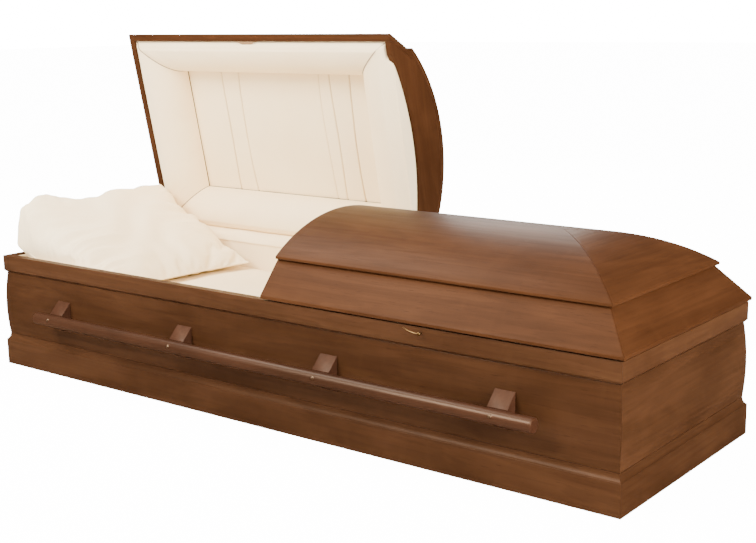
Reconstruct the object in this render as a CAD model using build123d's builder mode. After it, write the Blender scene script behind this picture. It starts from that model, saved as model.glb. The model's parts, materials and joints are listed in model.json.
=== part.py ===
"""Half-couch wooden coffin: hinged head and foot lids, long rod handles, cloth lining and pillow.

Millimetres, +Z up. X runs along the coffin, head at -X and foot at +X. The front long side faces -Y
and the lids are hinged along the back, +Y. The origin is the middle of the footprint at floor level.
The head lid is modelled open on its stop, the foot lid closed.
"""
from build123d import *
from math import cos, hypot, radians, sin, sqrt
import os

# ---- Plinth: flat-faced base moulding with a cove above it
base_length = 2100.0
base_width = 670.0
plinth_height = 78.0
cove_height = 18.0
cove_depth = 9.0
cove_sag = 2.1                # hollow of the cove behind its chord
plinth_arris = 2.0            # rounding of the plinth's top edge
floor_thickness = 18.0

# ---- Bowed side and end boards
side_height = 191.0
side_thickness = 20.0
side_bow = 6.0                # how far the face bulges from the line between its top and bottom edges
side_top_setback = 2.5        # top edge of the face lies this much further in than the bottom edge

# ---- Flat top rail around the body
rail_height = 51.0
rail_setback = 5.0            # rail face, in from the plinth face
rail_chamfer = 6.5
rail_arris = 2.0

# ---- Lids: sloped skirt boards carrying an arched, hipped crown
lid_gap = 4.0                 # between the rail top and the lid rim
lid_overhang = 6.0            # rim face beyond the rail face
lid_lip_height = 10.0
lid_lip_step = 2.0
rim_width = 22.0
skirt_rise = 82.0             # from the top of the lip to the underside of the crown
skirt_run = 68.5
skirt_thickness = 16.0
crown_overhang = 10.0
crown_lip_height = 7.0
crown_rise = 93.0
crown_thickness = 16.0
split_x = 34.0                # where the head lid ends and the foot lid begins
split_gap = 3.0
header_thickness = 18.0
arch_foot_width = 36.0        # solid foot of the header each side of its arch
arch_foot_round = 18.0
arch_rise = 57.0

# ---- Continuous hinges, let into a rebate along the back rail
hinge_setback = 2.0           # hinge axis, in from the rail's back face
hinge_drop = 5.0              # hinge axis, down from the rail's top
knuckle_radius = 4.0
hinge_pin_radius = 1.8
hinge_pin_clearance = 0.05
knuckle_length = 60.0
knuckle_gap = 0.6
hinge_leaf_thickness = 1.4
hinge_leaf_width = 17.0
hinge_leaf_clearance = 0.6    # plate edge to the other leaf's knuckle webs
hinge_end_margin = 40.0       # from the split
hinge_outer_margin = 80.0     # from the ends of the coffin
rebate_clearance = 2.5
open_angle = 79.1

# ---- Lining, mattress and pillow
soft_gap = 0.3
lining_thickness = 8.0
lining_top_margin = 4.0
mattress_height = 236.0
mattress_round = 22.0
roll_width = 113.0
roll_flat = 46.0              # flat-bottomed part of a roll beside the rim
roll_cheek_inset = 17.0       # its rounded cheek, in from the full width
roll_cheek_rise = 30.0
lid_panel_depth = 90.0        # lining panel face, in from the rim plane
lid_panel_thickness = 8.0
pillow_reach = 471.0          # from the head end's lining to its low edge
pillow_high = 232.0           # its high edge, above the mattress
pillow_crown = 60.0           # rise of its top above the line between the two edges
pillow_edge = 8.0
pillow_side_gap = 4.0
pillow_round = 50.0

# ---- Handles
bracket_spacing = 508.0
bracket_count = 4
bracket_width = 53.0
bracket_root_low = 140.0
bracket_root_high = 229.0
bracket_tip_low = 165.0
bracket_tip_high = 196.0
bracket_reach = 27.0          # bracket tip, out from the plinth face
rod_radius = 17.5
rod_length = 1696.0
rod_shift = 17.0              # its middle is this far toward the foot
rod_height = 180.0
rod_seat = 3.0                # depth of the rod's saddle in each bracket
rod_round = 3.0

# ---- Finger tab of the head lid, empty screw hole, hook catch of the foot lid
tab_x = -519.5
tab_width = 74.0
tab_depth = 11.0
screw_hole_radius = 1.6
screw_hole_depth = 12.0
screw_hole_drop = 5.0         # below the rail's top
catch_x = 536.0
catch_drop = 13.5             # pivot, below the rail's top
catch_shank_radius = 1.6
catch_head_radius = 4.6
catch_head_height = 3.2
catch_head_round = 2.2
catch_standoff = 8.6          # wood face to the near side of the hook
hook_thickness = 2.6
hook_eye_radius = 4.6
hook_clearance = 0.06
hook_reach = 46.0
hook_rise = 9.5
hook_sag = 2.9                # droop of the wire below the line from eye to tip
hook_root = 0.8               # how far the wire runs into its eye

# ---- Levels and outlines that follow
half_length = base_length / 2
half_width = base_width / 2
side_foot = plinth_height + cove_height
rail_foot = side_foot + side_height
body_top = rail_foot + rail_height
wall_inset = cove_depth + side_thickness
rim_level = body_top + lid_gap
lip_top = rim_level + lid_lip_height
crown_foot = lip_top + skirt_rise
crown_spring = crown_foot + crown_lip_height
crown_top = crown_spring + crown_rise
lid_inset = rail_setback - lid_overhang
crown_inset = lid_inset + lid_lip_step + skirt_run - crown_overhang
crown_half_width = half_width - crown_inset
crown_half_length = half_length - crown_inset
crown_radius = (crown_half_width ** 2 + crown_rise ** 2) / (2 * crown_rise)
crown_inner_radius = crown_radius - crown_thickness
crown_centre = crown_top - crown_radius
hip_x = crown_half_length - crown_half_width
skirt_slope = hypot(skirt_rise, skirt_run)
skirt_breadth = skirt_thickness * skirt_slope / skirt_rise     # horizontal thickness of the sloped board
skirt_top_inset = lid_inset + lid_lip_step + skirt_run + skirt_breadth
rim_inset = lid_inset + rim_width
skirt_knee = crown_foot - (skirt_top_inset - rim_inset) * skirt_rise / skirt_run
arch_half_width = half_width - rim_inset - arch_foot_width
head_split = split_x - split_gap / 2
foot_split = split_x + split_gap / 2
hinge_y = half_width - rail_setback - hinge_setback
hinge_z = body_top - hinge_drop
lid_axis = Axis((0, hinge_y, hinge_z), (1, 0, 0))
room_inset = wall_inset + soft_gap + lining_thickness
mattress_top = floor_thickness + soft_gap + mattress_height
pillow_half_width = half_width - room_inset - pillow_side_gap

# Stretches along X that the two hinges fill
hinge_runs = {
    "head": (-half_length + hinge_outer_margin, head_split - hinge_end_margin),
    "foot": (foot_split + hinge_end_margin, half_length - hinge_outer_margin),
}

# Blanks are drawn this much oversize before their mitres are cut, and cutters run this far past a face
outer_margin = 40.0
cut_margin = 1.0
body_plan = dict(
    x_low=-half_length - outer_margin,
    x_high=half_length + outer_margin,
    y_edge=half_width + outer_margin,
)

SIDES = {"front": (0, -1), "back": (0, 1), "head": (-1, 0), "foot": (1, 0)}

os.makedirs("parts", exist_ok=True)


def save(piece, name, turned=False):
    """Label one finished piece and write it; head-lid pieces are swung open about the hinge first."""
    if turned:
        piece.part = piece.part.rotate(lid_axis, -open_angle)
    piece.part.label = name
    export_step(piece.part, f"parts/{name}.step")


def side_plane(side):
    """Section plane of one side: local x runs inward from the plinth face, local y is height."""
    along, across = SIDES[side]
    outer = (along * half_length, across * half_width, 0)
    inward = Vector(-along, -across, 0)
    return Plane(origin=outer, x_dir=inward, z_dir=inward.cross(Vector(0, 0, 1)))


def mitre_plan(side, x_low=-half_length, x_high=half_length, y_edge=half_width, mitres=(True, True)):
    """Corners of the plan region one side keeps, cut at 45 degrees where it meets its neighbours."""
    along, across = SIDES[side]
    low_cut = y_edge if mitres[0] else 0
    high_cut = y_edge if mitres[1] else 0
    if across:
        return [
            (x_low, across * y_edge),
            (x_high, across * y_edge),
            (x_high - high_cut, 0),
            (x_low + low_cut, 0),
        ]
    outer = x_high if along > 0 else x_low
    return [(outer, -y_edge), (outer, y_edge), (outer - along * y_edge, 0)]


def keep_plan(points):
    """Keep only what stands over a plan outline."""
    with BuildSketch(Plane.XY.offset(-cut_margin)) as plan:
        Polygon(*points, align=None)
    extrude(plan.sketch, amount=crown_top + 2 * cut_margin, mode=Mode.INTERSECT)


def section_run(side):
    """Half the length that a side's section is drawn out to before its mitres are cut."""
    return (half_length if SIDES[side][1] else half_width) + 2 * outer_margin


def plinth_board(side):
    with BuildPart() as board:
        with BuildSketch(side_plane(side)):
            with BuildLine():
                Polyline((wall_inset, side_foot), (wall_inset, 0), (0, 0), (0, plinth_height - plinth_arris))
                RadiusArc(
                    (0, plinth_height - plinth_arris), (plinth_arris, plinth_height), plinth_arris
                )
                SagittaArc((plinth_arris, plinth_height), (cove_depth, side_foot), -cove_sag)
                Line((cove_depth, side_foot), (wall_inset, side_foot))
            make_face()
        extrude(amount=section_run(side), both=True)
        keep_plan(mitre_plan(side, **body_plan))
    return board


def side_board(side):
    top_inset = cove_depth + side_top_setback
    with BuildPart() as board:
        with BuildSketch(side_plane(side)):
            with BuildLine():
                SagittaArc((cove_depth, side_foot), (top_inset, rail_foot), side_bow)
                Polyline(
                    (top_inset, rail_foot), (wall_inset, rail_foot), (wall_inset, side_foot), (cove_depth, side_foot)
                )
            make_face()
        extrude(amount=section_run(side), both=True)
        keep_plan(mitre_plan(side, **body_plan))
    return board


def rail_board(side):
    """Top rail; its lower edge is chamfered, and the back one carries the hinge rebate."""
    chamfer_inset = rail_setback + rail_chamfer
    with BuildPart() as board:
        with BuildSketch(side_plane(side)):
            with BuildLine():
                Polyline(
                    (rail_setback + rail_arris, body_top),
                    (wall_inset, body_top),
                    (wall_inset, rail_foot),
                    (chamfer_inset, rail_foot),
                    (rail_setback, rail_foot + rail_chamfer),
                    (rail_setback, body_top - rail_arris),
                )
                RadiusArc(
                    (rail_setback, body_top - rail_arris), (rail_setback + rail_arris, body_top), rail_arris
                )
            make_face()
        extrude(amount=section_run(side), both=True)
        if side == "back":
            rebate_reach = knuckle_radius + rebate_clearance
            rebate_back = half_width - rail_setback + cut_margin
            for x_low, x_high in hinge_runs.values():
                with BuildSketch(Plane.XY.offset(hinge_z - rebate_reach)):
                    Polygon(
                        (x_low - rebate_clearance, hinge_y - rebate_reach),
                        (x_high + rebate_clearance, hinge_y - rebate_reach),
                        (x_high + rebate_clearance, rebate_back),
                        (x_low - rebate_clearance, rebate_back),
                        align=None,
                    )
                extrude(amount=rail_height, mode=Mode.SUBTRACT)
        if side == "front":
            rail_face = Plane(
                origin=(tab_x, -half_width + rail_setback, body_top - screw_hole_drop), z_dir=(0, -1, 0)
            )
            with Locations(rail_face):
                Hole(radius=screw_hole_radius, depth=screw_hole_depth)
        keep_plan(mitre_plan(side, **body_plan))
    return board


def body_lining(side):
    """Padded cloth board on the inside of one wall, with a rounded top edge."""
    inset = wall_inset + soft_gap
    top = body_top - lining_top_margin
    edge = lining_thickness / 2
    with BuildPart() as lining:
        with BuildSketch(side_plane(side)):
            with BuildLine():
                Polyline(
                    (inset, top - edge), (inset, floor_thickness + soft_gap),
                    (inset + lining_thickness, floor_thickness + soft_gap), (inset + lining_thickness, top - edge),
                )
                ThreePointArc(
                    (inset + lining_thickness, top - edge), (inset + edge, top), (inset, top - edge)
                )
            make_face()
        extrude(amount=section_run(side), both=True)
        keep_plan(mitre_plan(side, **body_plan))
    return lining


def build_body():
    for side in SIDES:
        save(plinth_board(side), f"plinth_{side}")
        save(rail_board(side), f"rail_{side}")
        save(body_lining(side), f"lining_{side}")
    with BuildPart() as floor:
        with BuildSketch(Plane.XY):
            Rectangle(base_length - 2 * wall_inset, base_width - 2 * wall_inset)
        extrude(amount=floor_thickness)
    save(floor, "floor_board")
    with BuildPart() as mattress:
        with BuildSketch(Plane.XY.offset(floor_thickness + soft_gap)):
            Rectangle(
                base_length - 2 * (room_inset + soft_gap), base_width - 2 * (room_inset + soft_gap)
            )
        extrude(amount=mattress_height)
        fillet(mattress.edges().filter_by(Axis.Z), radius=mattress_round)
        fillet(mattress.faces().sort_by(Axis.Z)[-1].edges(), radius=mattress_round)
    save(mattress, "mattress")


def build_pillow():
    """Plump pillow wedged in the head end: upright at the end wall, sloping to a thin edge on the mattress."""
    wall_x = -half_length + room_inset + soft_gap
    low_x = wall_x + pillow_reach
    base = mattress_top + soft_gap
    top = base + pillow_high
    with BuildPart() as pillow:
        with BuildSketch(Plane.XZ.offset(-pillow_half_width)):
            with BuildLine():
                SagittaArc((wall_x, top), (low_x, base + pillow_edge), pillow_crown)
                Polyline((low_x, base + pillow_edge), (low_x, base), (wall_x, base), (wall_x, top))
            make_face()
        extrude(amount=2 * pillow_half_width)
        with BuildSketch(Plane.YZ.offset(wall_x - cut_margin)) as shoulders:
            Polygon(
                (-pillow_half_width, base), (pillow_half_width, base),
                (pillow_half_width, top + pillow_edge), (-pillow_half_width, top + pillow_edge),
                align=None,
            )
            fillet(shoulders.vertices().group_by(Axis.Z)[-1], radius=pillow_round)
        extrude(shoulders.sketch, amount=pillow_reach + 2 * cut_margin, mode=Mode.INTERSECT)
    save(pillow, "pillow")


def build_handles(side_boards):
    """Wedge brackets seated on the bowed boards, each with a saddle that the long rod lies in."""
    for side in ("front", "back"):
        across = SIDES[side][1]
        rod_start = rod_shift - rod_length / 2
        rod_y = across * (half_width + bracket_reach + rod_radius - rod_seat)
        with BuildPart() as rod:
            with BuildSketch(Plane.YZ.offset(rod_start)):
                with Locations((rod_y, rod_height)):
                    Circle(rod_radius)
            extrude(amount=rod_length)
            fillet(rod.edges().filter_by(GeomType.CIRCLE), radius=rod_round)
        save(rod, f"handle_rod_{side}")
        for index in range(bracket_count):
            centre_x = (index - (bracket_count - 1) / 2) * bracket_spacing
            with BuildPart() as bracket:
                with BuildSketch(Plane.YZ.offset(centre_x - bracket_width / 2)):
                    Polygon(
                        (across * (half_width - wall_inset), bracket_root_low),
                        (across * (half_width - rail_setback), bracket_root_low),
                        (across * (half_width + bracket_reach), bracket_tip_low),
                        (across * (half_width + bracket_reach), bracket_tip_high),
                        (across * (half_width - rail_setback), bracket_root_high),
                        (across * (half_width - wall_inset), bracket_root_high),
                        align=None,
                    )
                extrude(amount=bracket_width)
                add(side_boards[side].part, mode=Mode.SUBTRACT)
                with BuildSketch(Plane.YZ.offset(rod_start)):
                    with Locations((rod_y, rod_height)):
                        Circle(rod_radius)
                extrude(amount=rod_length, mode=Mode.SUBTRACT)
            save(bracket, f"bracket_{side}_{index + 1}")


def skirt_board(side, x_low, x_high, mitres):
    """Lid edge board: a square lip at the rim, then a flat slope up to the crown."""
    with BuildPart() as board:
        with BuildSketch(side_plane(side)):
            Polygon(
                (lid_inset, rim_level),
                (lid_inset, lip_top - lid_lip_step),
                (lid_inset + lid_lip_step, lip_top),
                (lid_inset + lid_lip_step + skirt_run, crown_foot),
                (skirt_top_inset, crown_foot),
                (rim_inset, skirt_knee),
                (rim_inset, rim_level),
                align=None,
            )
        extrude(amount=section_run(side), both=True)
        keep_plan(mitre_plan(side, x_low, x_high, half_width + outer_margin, mitres))
    return board


def crown_section(plane):
    """Arched crown section: a short upright lip each side, one arc over the top, concentric inside."""
    spring = crown_half_width
    foot = sqrt(crown_inner_radius ** 2 - (crown_foot - crown_centre) ** 2)
    with BuildSketch(plane) as section:
        with BuildLine():
            Polyline((-foot, crown_foot), (-spring, crown_foot), (-spring, crown_spring))
            ThreePointArc((-spring, crown_spring), (0, crown_top), (spring, crown_spring))
            Polyline((spring, crown_spring), (spring, crown_foot), (foot, crown_foot))
            ThreePointArc((foot, crown_foot), (0, crown_centre + crown_inner_radius), (-foot, crown_foot))
        make_face()
    return section.sketch


def crown_boards(x_low, x_high, end):
    """The long arched board and the hipped end board of one lid's crown, mitred together."""
    reach = crown_half_width + outer_margin
    tip = end * hip_x
    corner = end * (hip_x + reach)
    split = x_low if end > 0 else x_high
    with BuildPart() as long_board:
        extrude(crown_section(Plane.YZ.offset(x_low)), amount=x_high - x_low)
        keep_plan([(split, -reach), (corner, -reach), (tip, 0), (corner, reach), (split, reach)])
    with BuildPart() as end_board:
        end_plane = Plane(origin=(tip, 0, 0), x_dir=(1, 0, 0), z_dir=(0, -1, 0))
        extrude(crown_section(end_plane), amount=reach, both=True)
        keep_plan([(corner, -reach), (corner, reach), (tip, 0)])
    return long_board, end_board


def between_skirts(clearance):
    """Half outline of the space between the skirt boards, from the rim up to the crown."""
    rim = half_width - rim_inset - clearance
    waist = half_width - skirt_top_inset - clearance
    return [(rim, rim_level), (rim, skirt_knee), (waist, crown_foot), (waist, crown_top)]


def header_board(x_low):
    """Flat board closing a lid's cut end inside the boards, with an arched lower edge."""
    fit_radius = crown_inner_radius - soft_gap / 2
    shoulder = sqrt(fit_radius ** 2 - (crown_foot - crown_centre) ** 2)
    rim = half_width - rim_inset
    waist = half_width - skirt_top_inset
    with BuildPart() as header:
        with BuildSketch(Plane.YZ.offset(x_low)) as outline:
            with BuildLine():
                Polyline(
                    (shoulder, crown_foot), (waist, crown_foot), (rim, skirt_knee), (rim, rim_level),
                    (arch_half_width, rim_level),
                )
                ThreePointArc(
                    (arch_half_width, rim_level), (0, rim_level + arch_rise), (-arch_half_width, rim_level)
                )
                Polyline(
                    (-arch_half_width, rim_level), (-rim, rim_level), (-rim, skirt_knee), (-waist, crown_foot),
                    (-shoulder, crown_foot),
                )
                ThreePointArc(
                    (-shoulder, crown_foot), (0, crown_centre + fit_radius), (shoulder, crown_foot)
                )
            make_face()
            feet = [v for v in outline.vertices() if abs(abs(v.Y) - arch_half_width) < cut_margin]
            fillet([v for v in feet if abs(v.Z - rim_level) < cut_margin], radius=arch_foot_round)
        extrude(amount=header_thickness)
    return header


def lid_roll(side, x_low, x_high, cut_end):
    """Puffed border of a lid's lining: flat at the rim, rounding up to the lining panel.

    x_low and x_high are the rim's inner edges, or the header's face at the lid's cut end.
    """
    along, across = SIDES[side]
    y_edge = half_width - rim_inset - soft_gap
    if across:
        edge_plane = side_plane(side)
        shift = rim_inset + soft_gap
    else:
        edge_plane = Plane(
            origin=(x_high if along > 0 else x_low, 0, 0),
            x_dir=(-along, 0, 0),
            z_dir=Vector(-along, 0, 0).cross(Vector(0, 0, 1)),
        )
        shift = 0
    floor = rim_level + soft_gap
    panel = rim_level + lid_panel_depth
    roof = panel + lid_panel_thickness
    lean = (crown_foot - skirt_knee) / (skirt_top_inset - rim_inset)
    with BuildPart() as roll:
        with BuildSketch(edge_plane):
            with BuildLine():
                if side == cut_end:
                    Polyline((shift, floor), (shift, roof), (shift + roll_width, roof))
                else:
                    Polyline(
                        (shift, floor), (shift, skirt_knee),
                        (shift + (crown_foot - skirt_knee) / lean, crown_foot),
                        (shift + (crown_foot - skirt_knee) / lean, roof),
                        (shift + roll_width, roof),
                    )
                Line((shift + roll_width, roof), (shift + roll_width, panel))
                ThreePointArc(
                    (shift + roll_width, panel),
                    (shift + roll_width - roll_cheek_inset, floor + roll_cheek_rise),
                    (shift + roll_flat, floor),
                )
                Line((shift + roll_flat, floor), (shift, floor))
            make_face()
        extrude(amount=section_run(side), both=True)
        keep_plan(mitre_plan(side, x_low, x_high, y_edge))
        if side == cut_end:
            right = between_skirts(soft_gap)
            left = [(-y, z) for y, z in reversed(right)]
            with BuildSketch(Plane.YZ.offset(x_low)) as room_section:
                Polygon(*right, *left, align=None)
            extrude(room_section.sketch, amount=x_high - x_low, mode=Mode.INTERSECT)
    return roll


def build_lid(lid):
    """One lid: three skirt boards, two crown boards, header, four lining rolls and the lining panel."""
    turned = lid == "head"
    if turned:
        x_low, x_high, end, end_side, cut_end = -half_length - outer_margin, head_split, -1, "head", "foot"
        mitres = (True, False)
        header_x = head_split - header_thickness
        room = (-half_length + rim_inset + soft_gap, header_x - soft_gap)
    else:
        x_low, x_high, end, end_side, cut_end = foot_split, half_length + outer_margin, 1, "foot", "head"
        mitres = (False, True)
        header_x = foot_split
        room = (header_x + header_thickness + soft_gap, half_length - rim_inset - soft_gap)

    for side in ("front", "back", end_side):
        position = "end" if side == end_side else side
        save(skirt_board(side, x_low, x_high, mitres), f"{lid}_lid_skirt_{position}", turned)
    long_board, end_board = crown_boards(x_low, x_high, end)
    save(long_board, f"{lid}_lid_crown", turned)
    save(end_board, f"{lid}_lid_crown_end", turned)
    save(header_board(header_x), f"{lid}_lid_header", turned)

    for side in SIDES:
        position = "end" if side == end_side else "split" if side == cut_end else side
        save(lid_roll(side, *room, cut_end), f"{lid}_lid_roll_{position}", turned)
    with BuildPart() as panel:
        panel_low = room[0] + roll_width + soft_gap
        panel_high = room[1] - roll_width - soft_gap
        panel_half = half_width - rim_inset - soft_gap - roll_width - soft_gap
        with BuildSketch(Plane.XY.offset(rim_level + lid_panel_depth)):
            Polygon(
                (panel_low, -panel_half), (panel_high, -panel_half),
                (panel_high, panel_half), (panel_low, panel_half),
                align=None,
            )
        extrude(amount=lid_panel_thickness)
    save(panel, f"{lid}_lid_panel", turned)


def knuckle_spans(run, start):
    """Lengths of barrel that belong to one leaf: every second knuckle along the hinge."""
    low, high = run
    count = 2 * round((high - low) / (2 * knuckle_length)) + 1
    pitch = (high - low) / count
    return [
        (low + index * pitch + knuckle_gap / 2, low + (index + 1) * pitch - knuckle_gap / 2)
        for index in range(start, count, 2)
    ]


def hinge_leaf(run, leaf_low, leaf_top, start):
    """Flat leaf under the lid or on the rail, with a short web down to each of its knuckles."""
    web_half = hinge_leaf_thickness / 2
    plate_edge = hinge_y - web_half - hinge_leaf_clearance
    with BuildPart() as leaf:
        with BuildSketch(Plane.YZ.offset(run[0])):
            Polygon(
                (hinge_y - hinge_leaf_width, leaf_low), (plate_edge, leaf_low),
                (plate_edge, leaf_top), (hinge_y - hinge_leaf_width, leaf_top),
                align=None,
            )
        extrude(amount=run[1] - run[0])
        for low, high in knuckle_spans(run, start):
            with BuildSketch(Plane.YZ.offset(low)):
                with Locations((hinge_y, hinge_z)):
                    Circle(knuckle_radius)
                Polygon(
                    (hinge_y - web_half, hinge_z), (hinge_y + web_half, hinge_z), (hinge_y + web_half, leaf_top),
                    (plate_edge - web_half, leaf_top), (plate_edge - web_half, leaf_low),
                    (hinge_y - web_half, leaf_low),
                    align=None,
                )
            extrude(amount=high - low)
        if start:
            with BuildSketch(Plane.YZ.offset(run[0] - cut_margin)):
                with Locations((hinge_y, hinge_z)):
                    Circle(hinge_pin_radius + hinge_pin_clearance)
            extrude(amount=run[1] - run[0] + 2 * cut_margin, mode=Mode.SUBTRACT)
        else:
            with BuildSketch(Plane.YZ.offset(run[0] + knuckle_gap)):
                with Locations((hinge_y, hinge_z)):
                    Circle(hinge_pin_radius)
            extrude(amount=run[1] - run[0] - 2 * knuckle_gap)
    return leaf


def build_hinges():
    """Each lid's continuous hinge: the rail leaf carries the pin, the lid leaf turns on it."""
    for lid, run in hinge_runs.items():
        fixed = hinge_leaf(run, body_top, body_top + hinge_leaf_thickness, 0)
        save(fixed, f"{lid}_hinge_rail_leaf")
        moving = hinge_leaf(run, rim_level - hinge_leaf_thickness, rim_level, 1)
        save(moving, f"{lid}_hinge_lid_leaf", turned=lid == "head")


def build_finger_tab():
    """Segment-shaped pull on the inner edge of the head lid's front rim."""
    edge_y = -half_width + rim_inset
    with BuildPart() as tab:
        with BuildSketch(Plane.XY.offset(rim_level)):
            with BuildLine():
                Line((tab_x + tab_width / 2, edge_y), (tab_x - tab_width / 2, edge_y))
                ThreePointArc(
                    (tab_x - tab_width / 2, edge_y), (tab_x, edge_y + tab_depth), (tab_x + tab_width / 2, edge_y)
                )
            make_face()
        extrude(amount=-lid_gap / 2)
    save(tab, "finger_tab", turned=True)


def build_catch():
    """Round-head screw in the front rail, and the wire hook that swings on it."""
    face_y = -half_width + rail_setback
    pivot_z = body_top - catch_drop
    hook_y = face_y - catch_standoff
    outward = Plane(origin=(catch_x, face_y, pivot_z), z_dir=(0, -1, 0), x_dir=(1, 0, 0))
    shank_length = catch_standoff + hook_thickness + hook_clearance
    with BuildPart() as screw:
        with BuildSketch(outward):
            Circle(catch_shank_radius)
        extrude(amount=shank_length)
        with BuildSketch(outward.offset(shank_length)):
            Circle(catch_head_radius)
        extrude(amount=catch_head_height)
        fillet(screw.faces().sort_by(Axis.Y)[0].edges(), radius=catch_head_round)
    save(screw, "catch_screw")

    eye = Plane(origin=(catch_x, hook_y, pivot_z), z_dir=(0, -1, 0), x_dir=(1, 0, 0))
    arm_y = hook_y - hook_thickness / 2
    start = Vector(catch_x - hook_eye_radius + hook_root, arm_y, pivot_z)
    tip = Vector(catch_x - hook_reach, arm_y, pivot_z + hook_rise)
    bend = (start + tip) / 2 - Vector(0, 0, hook_sag)
    with BuildPart() as hook:
        with BuildSketch(eye):
            Circle(hook_eye_radius)
            Circle(catch_shank_radius + hook_clearance, mode=Mode.SUBTRACT)
        extrude(amount=hook_thickness)
        with BuildLine():
            arm = ThreePointArc(start, bend, tip)
        with BuildSketch(Plane(origin=arm @ 0, z_dir=arm % 0)):
            Circle(hook_thickness / 2)
        sweep(path=arm)
    save(hook, "catch_hook")


boards = {side: side_board(side) for side in SIDES}
for side, board in boards.items():
    save(board, f"side_{side}")
build_body()
build_pillow()
build_handles(boards)
build_lid("head")
build_lid("foot")
build_hinges()
build_finger_tab()
build_catch()
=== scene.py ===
import json
import math

import bmesh
import bpy
import numpy as np
from mathutils import Matrix, Vector


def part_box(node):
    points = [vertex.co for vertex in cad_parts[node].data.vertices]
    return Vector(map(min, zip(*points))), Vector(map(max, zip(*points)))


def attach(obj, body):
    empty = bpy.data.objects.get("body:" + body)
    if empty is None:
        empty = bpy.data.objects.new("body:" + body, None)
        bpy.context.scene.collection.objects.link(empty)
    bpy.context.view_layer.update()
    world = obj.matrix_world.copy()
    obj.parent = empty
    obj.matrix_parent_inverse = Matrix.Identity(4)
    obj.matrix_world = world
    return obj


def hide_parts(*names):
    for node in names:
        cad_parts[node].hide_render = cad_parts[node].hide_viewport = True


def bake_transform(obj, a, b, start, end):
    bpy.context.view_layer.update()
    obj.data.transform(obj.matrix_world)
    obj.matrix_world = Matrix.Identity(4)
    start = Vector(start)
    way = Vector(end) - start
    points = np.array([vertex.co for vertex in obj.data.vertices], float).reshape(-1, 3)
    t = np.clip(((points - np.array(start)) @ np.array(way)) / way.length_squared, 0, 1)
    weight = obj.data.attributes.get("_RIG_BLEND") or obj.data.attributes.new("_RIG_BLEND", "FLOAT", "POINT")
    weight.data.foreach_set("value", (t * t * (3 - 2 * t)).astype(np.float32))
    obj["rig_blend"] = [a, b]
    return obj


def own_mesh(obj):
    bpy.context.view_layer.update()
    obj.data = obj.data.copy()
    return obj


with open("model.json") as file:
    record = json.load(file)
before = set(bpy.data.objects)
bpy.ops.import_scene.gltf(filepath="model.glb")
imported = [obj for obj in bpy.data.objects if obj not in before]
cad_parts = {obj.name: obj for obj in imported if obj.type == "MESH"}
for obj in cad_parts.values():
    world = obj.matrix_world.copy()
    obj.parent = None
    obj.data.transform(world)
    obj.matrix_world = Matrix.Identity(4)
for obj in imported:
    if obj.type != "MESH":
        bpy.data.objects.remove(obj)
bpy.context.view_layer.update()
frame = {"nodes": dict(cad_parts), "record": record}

scene = bpy.context.scene
nodes = frame["nodes"]
joints = {joint["name"]: joint for joint in frame["record"]["behaviour"]["joints"]}

# The head lid stands open in the frame. Its pieces are shaped shut and then swung about the hinge.
headHinge = joints["head_lid_hinge"]
hingePoint = np.array(headHinge["pos_m"])
openAngle = math.radians(abs(min(headHinge["range_deg"])))


def swing(points, angle):
    # turns points about the hinge line: y and z rotate in their own plane, x stays
    local = np.asarray(points, float) - hingePoint
    c, s = math.cos(angle), math.sin(angle)
    turned = local.copy()
    turned[..., 1] = local[..., 1] * c + local[..., 2] * s
    turned[..., 2] = -local[..., 1] * s + local[..., 2] * c
    return turned + hingePoint


def openHead(points):
    return swing(points, openAngle)


def placeOf(lid):
    # lid pieces are worked out shut; the head lid's are then swung open
    return openHead if lid == "head" else np.asarray


def meshPoints(mesh):
    flat = np.empty(len(mesh.vertices) * 3)
    mesh.vertices.foreach_get("co", flat)
    return flat.reshape(-1, 3)


def shutBox(node):
    # lowest and highest corners of a CAD node, with the head lid swung shut
    points = meshPoints(nodes[node].data)
    if node.startswith("head_"):
        points = swing(points, -openAngle)
    return points.min(axis=0), points.max(axis=0)


def smoothStep(x, low, high):
    # 0 below low, 1 above high, and a cubic with flat ends between them
    t = np.clip((x - low) / (high - low), 0, 1)
    return t * t * (3 - 2 * t)


def softFloor(value, blend):
    # like the larger of value and zero, but rounding from one to the other over a distance
    return 0.5 * (value + np.sqrt(value**2 + blend**2)) - 0.5 * blend * 0.2


def corners(node):
    # lowest and highest corners of a CAD node as it stands
    return (np.array(corner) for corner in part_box(node))


view = {
    "place": (2.1695, -2.5318, 1.0328),
    "yaw": 37.442,
    "pitch": -11.2175,
    "roll": -0.756,
    "lens": 59.01,
    "shift": (-0.0322, -0.0118),
    "farthest": 200,
}


def makeCamera():
    camera = bpy.data.objects.new("camera", bpy.data.cameras.new("camera"))
    scene.collection.objects.link(camera)
    turn = (
        Matrix.Rotation(math.radians(view["yaw"]), 4, "Z")
        @ Matrix.Rotation(math.radians(90 + view["pitch"]), 4, "X")
        @ Matrix.Rotation(math.radians(view["roll"]), 4, "Z")
    )
    camera.matrix_world = Matrix.Translation(Vector(view["place"])) @ turn
    camera.data.lens = view["lens"]
    camera.data.shift_x, camera.data.shift_y = view["shift"]
    camera.data.clip_end = view["farthest"]
    scene.camera = camera


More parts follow.
